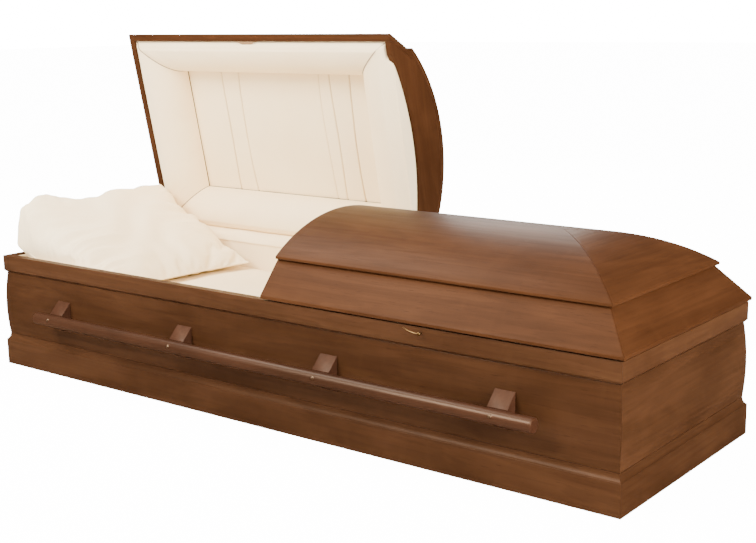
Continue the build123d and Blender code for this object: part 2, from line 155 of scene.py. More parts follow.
class Wires:
    # shorthand for adding nodes to one tree and joining their sockets
    def __init__(self, tree):
        self.tree = tree

    def join(self, source, target):
        self.tree.links.new(source, target)

    def feed(self, node, values):
        for key, value in values.items():
            socket = node.inputs[key]
            if isinstance(value, bpy.types.NodeSocket):
                self.join(value, socket)
            else:
                socket.default_value = value
        return node

    def math(self, operation, a, b=0.5, c=None):
        node = self.tree.nodes.new("ShaderNodeMath")
        node.operation = operation
        values = {0: a, 1: b} if c is None else {0: a, 1: b, 2: c}
        return self.feed(node, values).outputs[0]

    def vector(self, operation, a, b):
        node = self.tree.nodes.new("ShaderNodeVectorMath")
        node.operation = operation
        return self.feed(node, {0: a, 1: b}).outputs[0]

    def noise(self, coord, scale, detail=3.0, rough=0.5, distortion=0.0):
        node = self.tree.nodes.new("ShaderNodeTexNoise")
        values = {"Vector": coord, "Scale": scale, "Detail": detail, "Roughness": rough}
        return self.feed(node, {**values, "Distortion": distortion}).outputs["Fac"]

    def mix(self, factor, a, b):
        node = self.tree.nodes.new("ShaderNodeMix")
        node.data_type = "RGBA"
        # the colour sockets of this node are its inputs 6 and 7 and its output 2
        return self.feed(node, {0: factor, 6: a, 7: b}).outputs[2]

    def remap(self, value, low, high, toLow=0.0, toHigh=1.0):
        node = self.tree.nodes.new("ShaderNodeMapRange")
        node.interpolation_type = "SMOOTHSTEP"
        values = {"Value": value, "From Min": low, "From Max": high, "To Min": toLow, "To Max": toHigh}
        return self.feed(node, values).outputs["Result"]


studio = {
    "floorSize": 80.0,
    "floorColor": (0.93, 0.925, 0.915),
    "floorRough": 0.7,
    "floorGlow": 0.60,        # how much of the floor's look is plain white glow
    "glowColor": (1.0, 1.0, 1.0),
    "floorMirror": (0.16, 0.10, 0.06),
    "seenColor": (0.8, 0.8, 0.8),         # the room as looked at, brighter than the light that it gives
    "seenStrength": 24.0,
    "worldColor": (1.0, 0.985, 0.96),
    "worldStrength": 0.85,
    "mirrorColor": (1.0, 0.78, 0.55),     # the room in reflections, with dark walls beyond the lamps
    "mirrorStrength": 0.22,
    "lights": [
        # name, place, aim, size, power, color
        ("key", (-1.6, -3.4, 3.6), (-0.1, 0.0, 0.4), 2.2, 560, (1.0, 0.95, 0.88)),
        ("top", (-1.9, -0.1, 3.4), (-0.5, 0.0, 0.45), 1.8, 120, (1.0, 0.95, 0.88)),
        ("fill", (4.4, -0.9, 1.9), (0.4, 0.0, 0.35), 2.4, 480, (1.0, 0.95, 0.88)),
        ("rear", (-2.6, 4.0, 2.6), (0.0, 0.0, 0.3), 2.6, 150, (1.0, 0.96, 0.9)),
    ],
}


def addShader(tree, kind, color, strength=None):
    shader = tree.nodes.new("ShaderNode" + kind)
    shader.inputs["Color"].default_value = (*color, 1)
    if strength is not None:
        shader.inputs["Strength"].default_value = strength
    return shader


def sortRays(tree, usual, seen, seenShare, mirrored, output):
    # camera rays meet a share of the seen shader, glossy rays the mirrored one, and all others the usual one
    wires = Wires(tree)
    rays = tree.nodes.new("ShaderNodeLightPath")
    share = wires.math("MULTIPLY", rays.outputs["Is Camera Ray"], seenShare)
    result = usual.outputs[0]
    for factor, other in ((share, seen), (rays.outputs["Is Glossy Ray"], mirrored)):
        mixed = tree.nodes.new("ShaderNodeMixShader")
        result = wires.feed(mixed, {0: factor, 1: result, 2: other.outputs[0]}).outputs[0]
    wires.join(result, tree.nodes[output].inputs["Surface"])


def makeWorld():
    world = bpy.data.worlds.new("studio")
    world.use_nodes = True
    tree = world.node_tree
    room = tree.nodes["Background"]
    room.inputs["Color"].default_value = (*studio["worldColor"], 1)
    room.inputs["Strength"].default_value = studio["worldStrength"]
    seen = addShader(tree, "Background", studio["seenColor"], studio["seenStrength"])
    mirrored = addShader(tree, "Background", studio["mirrorColor"], studio["mirrorStrength"])
    sortRays(tree, room, seen, 1.0, mirrored, "World Output")
    scene.world = world


def makeFloor():
    half = studio["floorSize"] / 2
    mesh = bpy.data.meshes.new("floor")
    square = [(-half, -half, 0), (half, -half, 0), (half, half, 0), (-half, half, 0)]
    mesh.from_pydata(square, [], [(0, 1, 2, 3)])
    floor = bpy.data.objects.new("floor", mesh)
    scene.collection.objects.link(floor)
    paint = bpy.data.materials.new("floorPaint")
    paint.use_nodes = True
    tree = paint.node_tree
    shader = tree.nodes["Principled BSDF"]
    shader.inputs["Base Color"].default_value = (*studio["floorColor"], 1)
    shader.inputs["Roughness"].default_value = studio["floorRough"]
    glow = addShader(tree, "Emission", studio["glowColor"], studio["seenStrength"])
    dim = addShader(tree, "BsdfDiffuse", studio["floorMirror"])
    sortRays(tree, shader, glow, studio["floorGlow"], dim, "Material Output")
    mesh.materials.append(paint)


def makeLights():
    for name, place, aim, size, power, color in studio["lights"]:
        lamp = bpy.data.lights.new(name, "AREA")
        lamp.size = size
        lamp.energy = power
        lamp.color = color
        light = bpy.data.objects.new(name, lamp)
        light.location = place
        light.rotation_euler = (Vector(aim) - Vector(place)).to_track_quat("-Z", "Y").to_euler()
        scene.collection.objects.link(light)


def newGroup(name, inputs, outputs):
    tree = bpy.data.node_groups.new(name, "ShaderNodeTree")
    for socket, kind, value in inputs:
        item = tree.interface.new_socket(socket, in_out="INPUT", socket_type="NodeSocket" + kind)
        if value is not None:
            item.default_value = value
    for socket, kind in outputs:
        tree.interface.new_socket(socket, in_out="OUTPUT", socket_type="NodeSocket" + kind)
    return tree, tree.nodes.new("NodeGroupInput"), tree.nodes.new("NodeGroupOutput")


woodFigure = {
    # how far each pattern is stretched, along the fibres and twice across them
    "rings": (0.55, 5.0, 5.0),        # growth lines
    "fibre": (3.0, 95.0, 95.0),
    "pores": (26.0, 620.0, 620.0),
    "blotch": (1.6, 5.0, 5.0),
    "curl": (22.0, 5.0, 5.0),
    "ringCount": 9.0,
    # how strongly each one shows in the colour, the gloss and the height
    "ringDark": 0.20,
    "fibreDark": 0.24,
    "curlLight": 0.22,
    "poreDark": 0.5,
    "fibreRough": 0.16,
    "fibreHigh": 0.35,
    "poreDeep": 0.6,
}


def makeWoodGroup():
    # Stained board. The grain vector runs along the fibres in x. Growth lines are the fractional part of a
    # stretched, bent noise; pores are fine dashes along the fibres; the stain blotches slowly over the board.
    tree, given, made = newGroup(
        "woodGrain",
        [
            ("Grain", "Vector", None),
            ("Dark", "Color", (0.1, 0.04, 0.02, 1)),
            ("Base", "Color", (0.2, 0.1, 0.05, 1)),
            ("Light", "Color", (0.3, 0.16, 0.09, 1)),
            ("Figure", "Float", 1.0),
            ("Gloss", "Float", 0.36),
        ],
        [("Color", "Color"), ("Roughness", "Float"), ("Height", "Float")],
    )
    w = Wires(tree)
    dark, light, figure = (given.outputs[socket] for socket in ("Dark", "Light", "Figure"))

    def stretched(pattern):
        return w.vector("MULTIPLY", given.outputs["Grain"], woodFigure[pattern])

    warp = w.noise(stretched("rings"), 1.6, 4.0, 0.55, 0.6)
    rings = w.math("FRACT", w.math("MULTIPLY", warp, woodFigure["ringCount"]))
    ringLine = w.math("MULTIPLY", w.remap(rings, 0.0, 0.75), w.remap(rings, 1.0, 0.86))
    fibre = w.noise(stretched("fibre"), 1.0, 4.0, 0.6)
    pores = w.remap(w.noise(stretched("pores"), 1.0, 2.0, 0.5), 0.63, 0.72)
    blotch = w.noise(stretched("blotch"), 1.4, 3.0, 0.6, 0.3)
    curl = w.noise(stretched("curl"), 1.0, 3.0, 0.5, 0.5)

    tone = w.mix(w.remap(blotch, 0.28, 0.72), given.outputs["Base"], light)
    ringShare = w.math("MULTIPLY", ringLine, woodFigure["ringDark"])
    tone = w.mix(w.math("MULTIPLY", ringShare, figure), tone, dark)
    tone = w.mix(w.remap(fibre, 0.42, 0.75, 0.0, woodFigure["fibreDark"]), tone, dark)
    curlShare = w.math("MULTIPLY", w.remap(curl, 0.5, 0.78), woodFigure["curlLight"])
    tone = w.mix(w.math("MULTIPLY", curlShare, figure), tone, light)
    tone = w.mix(w.math("MULTIPLY", pores, woodFigure["poreDark"]), tone, dark)
    w.join(tone, made.inputs["Color"])
    uneven = w.math("MULTIPLY", w.math("SUBTRACT", fibre, 0.5), woodFigure["fibreRough"])
    w.join(w.math("ADD", given.outputs["Gloss"], uneven), made.inputs["Roughness"])
    raised = w.math("MULTIPLY", fibre, woodFigure["fibreHigh"])
    pitted = w.math("MULTIPLY", pores, woodFigure["poreDeep"])
    w.join(w.math("SUBTRACT", raised, pitted), made.inputs["Height"])
    return tree


clothFigure = {
    "threadTurn": 6283.0,     # radians of the threads' sine in a metre, at a pitch of one millimetre
    "wobble": 55.0,
    "bend": 5.0,
    "slub": (60.0, 700.0, 60.0),
    "crepe": 420.0,
    "cloud": 5.0,
    # how strongly each one shows
    "crepeShade": 0.25,
    "cloudShade": 0.35,
    "slubShade": 0.2,
    "crepeRough": 0.2,
    "rough": 0.62,
    "weaveHigh": 0.45,
    # the third thread coordinate where the painted shade of a tuck is full
    "fullTuck": 0.02,         # the third thread coordinate at the bottom of a tuck
}


def makeClothGroup():
    # Fine crepe. Warp and weft are two crossed sine waves, broken up by noise; a slow noise tints the cloth.
    # The third thread coordinate is a mask of painted shade along the tucks; it turns the cloth towards the
    # painted shade colour.
    tree, given, made = newGroup(
        "clothWeave",
        [
            ("Thread", "Vector", None),
            ("Tint", "Color", (0.9, 0.82, 0.7, 1)),
            ("Shade", "Color", (0.8, 0.7, 0.56, 1)),
            # colour of the painted shade in a tuck
            ("Seam", "Color", (0.3, 0.2, 0.12, 1)),
            ("Pitch", "Float", 1.1),
        ],
        [("Color", "Color"), ("Roughness", "Float"), ("Height", "Float")],
    )
    w = Wires(tree)
    thread = given.outputs["Thread"]
    parts = tree.nodes.new("ShaderNodeSeparateXYZ")
    w.join(thread, parts.inputs[0])
    wobble = w.noise(thread, clothFigure["wobble"], 2.0, 0.5)
    rate = w.math("DIVIDE", clothFigure["threadTurn"], given.outputs["Pitch"])
    bend = w.math("MULTIPLY", wobble, clothFigure["bend"])
    warp = w.math("SINE", w.math("MULTIPLY_ADD", parts.outputs[0], rate, bend))
    weft = w.math("SINE", w.math("MULTIPLY_ADD", parts.outputs[1], rate, bend))
    weave = w.math("MULTIPLY_ADD", w.math("MULTIPLY", warp, weft), 0.5, 0.5)
    slub = w.noise(w.vector("MULTIPLY", thread, clothFigure["slub"]), 1.0, 2.0, 0.5)
    crepe = w.noise(thread, clothFigure["crepe"], 3.0, 0.6)
    cloud = w.noise(thread, clothFigure["cloud"], 3.0, 0.5)
    clouds = w.math("MULTIPLY", w.remap(cloud, 0.3, 0.75), clothFigure["cloudShade"])
    mottle = w.math("MULTIPLY_ADD", w.remap(crepe, 0.35, 0.7), clothFigure["crepeShade"], clouds)
    slubs = w.math("MULTIPLY", w.remap(slub, 0.5, 0.8), clothFigure["slubShade"])
    # the tucks' painted shade, read from the third thread coordinate, darkens the cloth
    tuck = w.remap(parts.outputs[2], 0.0, clothFigure["fullTuck"])
    cloth = w.mix(w.math("ADD", mottle, slubs), given.outputs["Tint"], given.outputs["Shade"])
    w.join(w.mix(tuck, cloth, given.outputs["Seam"]), made.inputs["Color"])
    rough = w.math("MULTIPLY_ADD", crepe, clothFigure["crepeRough"], clothFigure["rough"])
    w.join(rough, made.inputs["Roughness"])
    w.join(w.math("MULTIPLY_ADD", weave, clothFigure["weaveHigh"], crepe), made.inputs["Height"])
    return tree


metalFigure = {
    "cloud": 90.0,
    "scratch": (400.0, 2600.0, 900.0),
    "cloudRough": 0.25,
    "scratchHigh": 0.4,
}


def makeMetalGroup():
    # handled brass or steel: a slow tarnish cloud and fine random scratches
    tree, given, made = newGroup(
        "handledMetal",
        [
            ("Place", "Vector", None),
            ("Bright", "Color", (0.8, 0.6, 0.3, 1)),
            ("Tarnish", "Color", (0.3, 0.2, 0.1, 1)),
            ("Gloss", "Float", 0.25),
        ],
        [("Color", "Color"), ("Roughness", "Float"), ("Height", "Float")],
    )
    w = Wires(tree)
    place = given.outputs["Place"]
    cloud = w.noise(place, metalFigure["cloud"], 4.0, 0.6)
    scratch = w.noise(w.vector("MULTIPLY", place, metalFigure["scratch"]), 1.0, 2.0, 0.6)
    tone = w.mix(w.remap(cloud, 0.35, 0.75), given.outputs["Bright"], given.outputs["Tarnish"])
    w.join(tone, made.inputs["Color"])
    rough = w.math("ADD", given.outputs["Gloss"], w.math("MULTIPLY", cloud, metalFigure["cloudRough"]))
    w.join(rough, made.inputs["Roughness"])
    w.join(w.math("MULTIPLY", scratch, metalFigure["scratchHigh"]), made.inputs["Height"])
    return tree


def makeFinish(name, group, sockets, attribute, relief, plain):
    # one finish: the group reads the piece's own attribute, or its place, and feeds a Principled shader
    material = bpy.data.materials.new(name)
    material.use_nodes = True
    tree = material.node_tree
    shader = tree.nodes["Principled BSDF"]
    use = tree.nodes.new("ShaderNodeGroup")
    use.node_tree = group
    if attribute:
        source = tree.nodes.new("ShaderNodeAttribute")
        source.attribute_name = attribute
        place = source.outputs["Vector"]
    else:
        place = tree.nodes.new("ShaderNodeTexCoord").outputs["Object"]
    tree.links.new(place, use.inputs[0])
    for socket, value in sockets.items():
        use.inputs[socket].default_value = value
    tree.links.new(use.outputs["Color"], shader.inputs["Base Color"])
    tree.links.new(use.outputs["Roughness"], shader.inputs["Roughness"])
    bump = tree.nodes.new("ShaderNodeBump")
    bump.inputs["Strength"].default_value, bump.inputs["Distance"].default_value = relief
    tree.links.new(use.outputs["Height"], bump.inputs["Height"])
    tree.links.new(bump.outputs["Normal"], shader.inputs["Normal"])
    for socket, value in plain.items():
        shader.inputs[socket].default_value = value
    return material


woodTones = {
    # finish: dark, base and light stain, figure, roughness, shine
    "bodyWood": ((0.013, 0.0044, 0.0014), (0.0335, 0.013, 0.005), (0.052, 0.0215, 0.009), 0.9, 0.42, 0.07),
    # the rails' finish is the body's stain made brighter: painted light on the rails
    "railWood": ((0.016, 0.0056, 0.0019), (0.042, 0.0168, 0.0067), (0.064, 0.0272, 0.0118), 0.9, 0.42, 0.07),
    "lidWood": ((0.016, 0.005, 0.0015), (0.042, 0.0146, 0.0049), (0.064, 0.024, 0.009), 0.9, 0.46, 0.07),
    "handleWood": ((0.015, 0.0054, 0.0026), (0.038, 0.015, 0.008), (0.058, 0.024, 0.0132), 0.6, 0.4, 0.1),
    "rodWood": ((0.011, 0.004, 0.0019), (0.029, 0.0112, 0.0055), (0.044, 0.0176, 0.0092), 0.6, 0.34, 0.2),
    # arris: a paler stain on the bevelled edges, partly worn finish and partly a painted highlight
    "arris": ((0.04, 0.017, 0.007), (0.086, 0.04, 0.018), (0.118, 0.056, 0.026), 0.4, 0.34, 0.15),
    "tabWood": ((0.15, 0.08, 0.036), (0.26, 0.155, 0.08), (0.32, 0.2, 0.11), 0.5, 0.4, 0.07),
}
clothTones = {
    # finish: tint, shade, colour of the painted shade in a tuck, thread pitch in millimetres
    "liningCloth": ((0.975, 0.800, 0.520), (0.905, 0.690, 0.400), (0.130, 0.075, 0.038), 1.1),
    "pillowCloth": ((0.975, 0.810, 0.535), (0.905, 0.700, 0.415), (0.400, 0.260, 0.110), 0.9),
    "pipingCloth": ((0.360, 0.260, 0.165), (0.220, 0.150, 0.090), (0.130, 0.075, 0.038), 0.8),
}
metalTones = {
    # finish: bright, tarnish, gloss
    "brassFinish": ((0.260, 0.160, 0.065), (0.090, 0.050, 0.022), 0.26),
    "hingeFinish": ((0.560, 0.450, 0.280), (0.280, 0.200, 0.110), 0.28),
    "screwFinish": ((0.190, 0.125, 0.080), (0.060, 0.036, 0.022), 0.30),
}
# bump strength and height in metres, and the values that are the same all over a finish
woodRelief, clothRelief, metalRelief = (0.25, 0.0006), (0.30, 0.0005), (0.15, 0.0002)
woodShine = {
    "Coat Weight": 0.03,
    "Coat Roughness": 0.30,
    "Coat Tint": (1.0, 0.86, 0.70, 1),
    "Specular Tint": (1.0, 0.72, 0.48, 1),
}
clothShine = {
    "Sheen Weight": 0.20,
    "Sheen Roughness": 0.45,
    "Sheen Tint": (1.0, 0.96, 0.9, 1),
    "Specular IOR Level": 0.25,
}
metalShine = {"Metallic": 1.0}


def makeMaterials():
    made = {}
    wood, cloth, metal = makeWoodGroup(), makeClothGroup(), makeMetalGroup()
    for name, (dark, base, light, figure, gloss, shine) in woodTones.items():
        sockets = {"Dark": (*dark, 1), "Base": (*base, 1), "Light": (*light, 1)}
        sockets.update(Figure=figure, Gloss=gloss)
        plain = {**woodShine, "Specular IOR Level": shine}
        made[name] = makeFinish(name, wood, sockets, "grain", woodRelief, plain)
    for name, (tint, shade, seam, pitch) in clothTones.items():
        sockets = {"Tint": (*tint, 1), "Shade": (*shade, 1), "Seam": (*seam, 1), "Pitch": pitch}
        made[name] = makeFinish(name, cloth, sockets, "thread", clothRelief, clothShine)
    for name, (bright, tarnish, gloss) in metalTones.items():
        sockets = {"Bright": (*bright, 1), "Tarnish": (*tarnish, 1), "Gloss": gloss}
        made[name] = makeFinish(name, metal, sockets, None, metalRelief, metalShine)
    return made


def addVectors(mesh, name, values):
    attribute = mesh.attributes.new(name, "FLOAT_VECTOR", "POINT")
    attribute.data.foreach_set("vector", np.ascontiguousarray(values, np.float32).ravel())


def finishPiece(piece, body, replaced=()):
    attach(piece, body)
    if replaced:
        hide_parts(*replaced)
    return piece


def gridFaces(rows, columns, offset=0, wrap=False):
    # quads of a grid of rows by columns points, numbered row by row; wrap joins the last column to the first
    last = columns if wrap else columns - 1
    i, j = np.meshgrid(np.arange(rows - 1), np.arange(last), indexing="ij")
    i, j = i.ravel(), j.ravel()
    k = (j + 1) % columns
    row, above = i * columns, (i + 1) * columns
    return np.stack([row + j, row + k, above + k, above + j], 1) + offset


def tubeFaces(rings, sides):
    # a grid that closes round on itself, with its first and last rings capped
    caps = [list(range(sides)), list(range((rings - 1) * sides, rings * sides))[::-1]]
    return gridFaces(rings, sides, wrap=True).tolist() + caps


def pieceFrom(name, points, faces, thread, materials, smoothAngle=60.0):
    mesh = bpy.data.meshes.new(name)
    mesh.from_pydata(points.reshape(-1, 3).tolist(), [], [list(face) for face in faces])
    addVectors(mesh, "thread", thread.reshape(-1, 3))
    for material in materials:
        mesh.materials.append(material)
    mesh.validate()
    flip = bmesh.new()
    flip.from_mesh(mesh)
    bmesh.ops.recalc_face_normals(flip, faces=flip.faces)
    flip.to_mesh(mesh)
    flip.free()
    mesh.shade_smooth()
    mesh.set_sharp_from_angle(angle=math.radians(smoothAngle))
    piece = bpy.data.objects.new(name, mesh)
    scene.collection.objects.link(piece)
    return piece


def padPiece(name, front, back, thread, materials):
    # A stuffed piece: two grids of the same size, face and back, stitched together round their edges.
    rows, columns = front.shape[:2]
    count = rows * columns
    faces = [gridFaces(rows, columns), gridFaces(rows, columns, count)[:, ::-1]]
    index = np.arange(count).reshape(rows, columns)
    edge = np.concatenate([index[0, :-1], index[:-1, -1], index[-1, :0:-1], index[:0:-1, 0]])
    after = np.roll(edge, -1)
    faces.append(np.stack([edge, edge + count, after + count, after], 1))
    points = np.concatenate([front.reshape(-1, 3), back.reshape(-1, 3)])
    # the back is cut from another place in the cloth
    threads = np.concatenate([thread.reshape(-1, 3), thread.reshape(-1, 3) + (0.37, 0.11, 0)])
    return pieceFrom(name, points, np.concatenate(faces), threads, materials)


def tubePiece(name, path, radius, sides, materials):
    # A cord of piping: a circle carried along a path, with its two ends closed.
    along = np.gradient(path, axis=0)
    along /= np.linalg.norm(along, axis=1, keepdims=True)
    helper = np.array([0.31, 0.52, 0.79])     # a direction that no path here takes
    first = np.cross(along, helper)
    first /= np.linalg.norm(first, axis=1, keepdims=True)
    second = np.cross(along, first)
    turn = np.linspace(0, 2 * np.pi, sides, endpoint=False)
    ring = first[:, None] * np.cos(turn)[None, :, None] + second[:, None] * np.sin(turn)[None, :, None]
    points = path[:, None] + radius * ring
    run = np.concatenate([[0], np.cumsum(np.linalg.norm(np.diff(path, axis=0), axis=1))])
    thread = np.zeros(points.shape)
    thread[..., 0] = run[:, None]
    thread[..., 1] = turn[None] * radius
    return pieceFrom(name, points, tubeFaces(len(path), sides), thread, materials)


# wooden boards: the CAD boards with eased arrises and a grain direction of their own; the arrises take a
# paler stain, partly wear and partly a painted highlight
boardFinish = {
    "arris": 0.0016,
    "arrisAngle": 28,
    "flatAngle": 0.4,
    "weld": 1e-5,
    "sharpAngle": 20,
    "shift": (3.17, 1.31, 0.73),      # each board is cut from the next place in the grain
}


def boardAxes(node):
    # directions of the grain, of the width and of the thickness of one board
    if node.startswith("bracket"):
        return np.array([[0, 0, 1], [1, 0, 0], [0, 1, 0]], float)
    if node.endswith(("_head", "_foot", "_end", "_header")):
        return np.array([[0, 1, 0], [1, 0, 0], [0, 0, 1]], float)
    return np.eye(3)


def makeBoard(node, body, finish, order):
    mesh = nodes[node].data.copy()
    mesh.name = node + "_wood"
    work = bmesh.new()
    work.from_mesh(mesh)
    bmesh.ops.remove_doubles(work, verts=work.verts, dist=boardFinish["weld"])
    bmesh.ops.dissolve_limit(
        work, angle_limit=math.radians(boardFinish["flatAngle"]), verts=work.verts, edges=work.edges
    )
    corner = math.radians(boardFinish["arrisAngle"])
    sharp = [e for e in work.edges if len(e.link_faces) == 2 and e.calc_face_angle(0) > corner]
    bmesh.ops.bevel(
        work, geom=sharp, offset=boardFinish["arris"], offset_type="OFFSET", segments=2, profile=0.5,
        affect="EDGES", clamp_overlap=True, material=1,
    )
    work.to_mesh(mesh)
    work.free()
    for name in [a.name for a in mesh.attributes if a.name.startswith("custom_normal")]:
        mesh.attributes.remove(mesh.attributes[name])
    points = meshPoints(mesh)
    if node.startswith("head_") or node == "finger_tab":
        points = swing(points, -openAngle)
    addVectors(mesh, "grain", points @ boardAxes(node).T + np.array(boardFinish["shift"]) * order)
    mesh.materials.clear()
    mesh.materials.append(finishes[finish])
    # the bevels take the paler arris stain: partly wear, partly a painted highlight along the edges
    mesh.materials.append(finishes["arris"])
    mesh.shade_smooth()
    mesh.set_sharp_from_angle(angle=math.radians(boardFinish["sharpAngle"]))
    board = bpy.data.objects.new(node + "_wood", mesh)
    scene.collection.objects.link(board)
    return finishPiece(board, body, [node])


def makeBoards():
    slots = {entry["node"]: entry["material_slot"] for entry in frame["record"]["subparts"]}
    finishOf = {"body_wood": "bodyWood", "lid_wood": "lidWood", "handle_wood": "handleWood"}
    # the rails take the brighter copy of the body's stain, which is painted light
    own = {"finger_tab": "tabWood", "rail_": "railWood", "handle_rod": "rodWood"}
    bodies = frame["record"]["behaviour"]["bodies"]
    bodyOf = {node: body for body, members in bodies.items() for node in members}
    for order, node in enumerate(sorted(nodes)):
        if slots[node] in finishOf:
            finish = next((own[key] for key in own if node.startswith(key)), finishOf[slots[node]])
            makeBoard(node, bodyOf[node], finish, order)


# lining of a lid: four puffed rolls with mitred seams, and a pleated panel between them
lining = {
    "puff": 0.011,            # how far a roll stands proud of the rim
    "tuck": 0.008,            # its rim edge, behind the rim's face
    "shape": 2.15,            # exponent of the roll's rounded section
    "thick": 0.012,
    "crown": 0.004,           # extra fullness halfway between two seams
    "splitWide": 0.027,       # how much wider the rolls at the split and at the end are
    "endWide": 0.019,
    "archHalf": 0.282,        # half width and rise of the header's arch
    "archRise": 0.057,
    "tongue": 0.0135,         # lining that shows in the arch of the header
    "seamGap": 0.0035,
    "pipe": 0.0016,
    "pipeSides": 8,
    "alongSteps": 140,
    "acrossSteps": 44,
    "liftFrom": 0.005,        # where the roll rises from its rim edge, and where it is full
    "liftTo": 0.028,
    "ripple": 0.0007,
    "tongueFade": 0.03,
    "tongueEnd": 0.014,
    "apronSteps": 9,          # cloth from the split's roll up to the underside of the header
    "apronBow": 0.002,
    "archGap": 0.004,
    "backRoom": 0.006,        # how far the back of a roll may pass the panel, and stand past its ends
    "sideRoom": 0.012,
    "thinnest": 0.002,
}


def lidRoom(lid):
    # Edges of a lid's lining: outer rectangle at the rim, inner rectangle round the panel, and levels.
    front, back = shutBox(f"{lid}_lid_roll_front"), shutBox(f"{lid}_lid_roll_back")
    centre = shutBox(f"{lid}_lid_panel")
    end = -1 if lid == "head" else 1
    splitX = front[1][0] if lid == "head" else front[0][0]
    endX = front[0][0] if lid == "head" else front[1][0]
    innerSplit = (centre[1][0] if lid == "head" else centre[0][0]) + end * lining["splitWide"]
    innerEnd = (centre[0][0] if lid == "head" else centre[1][0]) - end * lining["endWide"]
    return {
        "end": end,
        "rim": front[0][2],
        "deep": centre[0][2] - front[0][2],
        "outer": (splitX, endX, back[1][1]),
        "inner": (innerSplit, innerEnd, centre[1][1]),
    }


def archHeight(y):
    # Underside of the header: a circular arc, highest in the middle, measured from the rim.
    half, rise = lining["archHalf"], lining["archRise"]
    radius = (half**2 + rise**2) / (2 * rise)
    inside = np.clip(1 - (y / half) ** 2, 0, None) > 0
    return np.where(inside, np.sqrt(np.clip(radius**2 - y**2, 0, None)) - (radius - rise), 0)


def rollSeams(side, room):
    # plan of the two mitre seams that end a roll: x and y at the rim, then x and y at the panel
    outerSplit, outerEnd, outerY = room["outer"]
    innerSplit, innerEnd, innerY = room["inner"]
    frontSplit = (outerSplit, -outerY, innerSplit, -innerY)
    backSplit = (outerSplit, outerY, innerSplit, innerY)
    frontEnd = (outerEnd, -outerY, innerEnd, -innerY)
    backEnd = (outerEnd, outerY, innerEnd, innerY)
    return {
        "front": (frontSplit, frontEnd),
        "back": (backSplit, backEnd),
        "split": (frontSplit, backSplit),
        "end": (frontEnd, backEnd),
    }[side]


def addApron(face, room):
    # Carries the split roll's rim edge on, by straight steps with a slight bow, up to just short of the arch.
    drop = np.linspace(1, 0, lining["apronSteps"], endpoint=False)[None, :]
    edgeX, edgeY, edgeZ = (face[:, :1, i] for i in (0, 1, 2))
    arch = np.clip(archHeight(edgeY) - lining["archGap"], lining["tuck"] + 0.002, None)
    z = edgeZ + (room["rim"] + arch - edgeZ) * drop
    bow = -room["end"] * lining["apronBow"] * np.sin(drop * np.pi)
    return np.concatenate([np.stack([edgeX + bow, edgeY + 0 * drop, z], -1), face], axis=1)


def rollBack(face, room):
    # The back of a roll is its face moved outwards along the normal, held inside the shell of the lid.
    outerSplit, outerEnd, outerY = room["outer"]
    innerSplit, innerEnd, _ = room["inner"]
    middle = np.array([(innerSplit + innerEnd) / 2, 0, room["rim"] + room["deep"] * 0.4])
    normal = np.cross(np.gradient(face, axis=1), np.gradient(face, axis=0))
    normal /= np.maximum(np.linalg.norm(normal, axis=-1, keepdims=True), 1e-9)
    outward = np.where(np.sum(normal * (face - middle), -1, keepdims=True) < 0, -normal, normal)
    back = face + outward * lining["thick"]
    limit = room["rim"] + room["deep"] + lining["backRoom"]
    least = face[..., 2] + lining["thinnest"]
    back[..., 2] = np.clip(back[..., 2], least, np.maximum(limit, least + 0.001))
    back[..., 1] = np.clip(back[..., 1], -outerY, outerY)
    low, high = sorted((outerSplit, outerEnd))
    back[..., 0] = np.clip(back[..., 0], low - lining["sideRoom"], high + lining["sideRoom"])
    return back


def makeRoll(lid, side, room):
    # Section: a quarter superellipse from the rim to the panel. It is carried between two mitre seams, each a
    # straight line in plan, and swells a little halfway along.
    first, second = (np.array(seam) for seam in rollSeams(side, room))
    rows, columns = lining["alongSteps"], lining["acrossSteps"]
    s = np.linspace(0, 1, rows)[:, None]
    t = np.linspace(0, 1, columns)[None, :]
    power = 2 / lining["shape"]
    reach = np.sin(t * np.pi / 2) ** power
    sink = 1 - np.cos(t * np.pi / 2) ** power
    atFirst = [first[i] + (first[i + 2] - first[i]) * reach for i in (0, 1)]
    atSecond = [second[i] + (second[i + 2] - second[i]) * reach for i in (0, 1)]
    x, y = (atFirst[i] * (1 - s) + atSecond[i] * s for i in (0, 1))
    width = abs(first[3] - first[1]) if side in ("front", "back") else abs(first[2] - first[0])
    lift = smoothStep(reach * width, lining["liftFrom"], lining["liftTo"])
    depth = -lining["puff"] * lift + (room["deep"] - lining["seamGap"] + lining["puff"]) * sink
    depth = depth + lining["tuck"] * (1 - lift)
    nearSeam = np.abs(2 * s - 1)
    ripple = np.sin(s * 61 + 3 * reach) * np.sin(s * 23 + 1.3) + 0.6 * np.sin(s * 97 + 5 * reach + 0.7)
    swell = lining["crown"] * (1 - nearSeam**5) * np.sin(np.clip(reach, 0, 1) * np.pi) ** 0.8
    swell = swell + lining["ripple"] * ripple * np.sin(reach * np.pi) * (0.35 + nearSeam**3)
    z = room["rim"] + depth - swell + 0 * s
    if side == "split":
        inArch = smoothStep(lining["archHalf"] - lining["tongueEnd"] - np.abs(y), 0.0, lining["tongueFade"])
        show = inArch * (1 - smoothStep(reach * width, 0.0, lining["tongueFade"]))
        x = x - room["end"] * lining["tongue"] * show
    face = np.stack([x, y, z], -1)
    if side == "split":
        face = addApron(face, room)
    alongRun = s * np.hypot(second[0] - first[0], second[1] - first[1]) * np.ones((1, face.shape[1]))
    steps = np.linalg.norm(np.diff(face, axis=1), axis=-1)
    acrossRun = np.concatenate([np.zeros((rows, 1)), np.cumsum(steps, 1)], 1)
    thread = np.stack([alongRun, acrossRun, 0 * acrossRun], -1)
    place = placeOf(lid)
    back = rollBack(face, room)
    piece = padPiece(f"{lid}_roll_{side}", place(face), place(back), thread, [finishes["liningCloth"]])
    finishPiece(piece, f"{lid}_lid", [f"{lid}_lid_roll_{side}"])
    return face


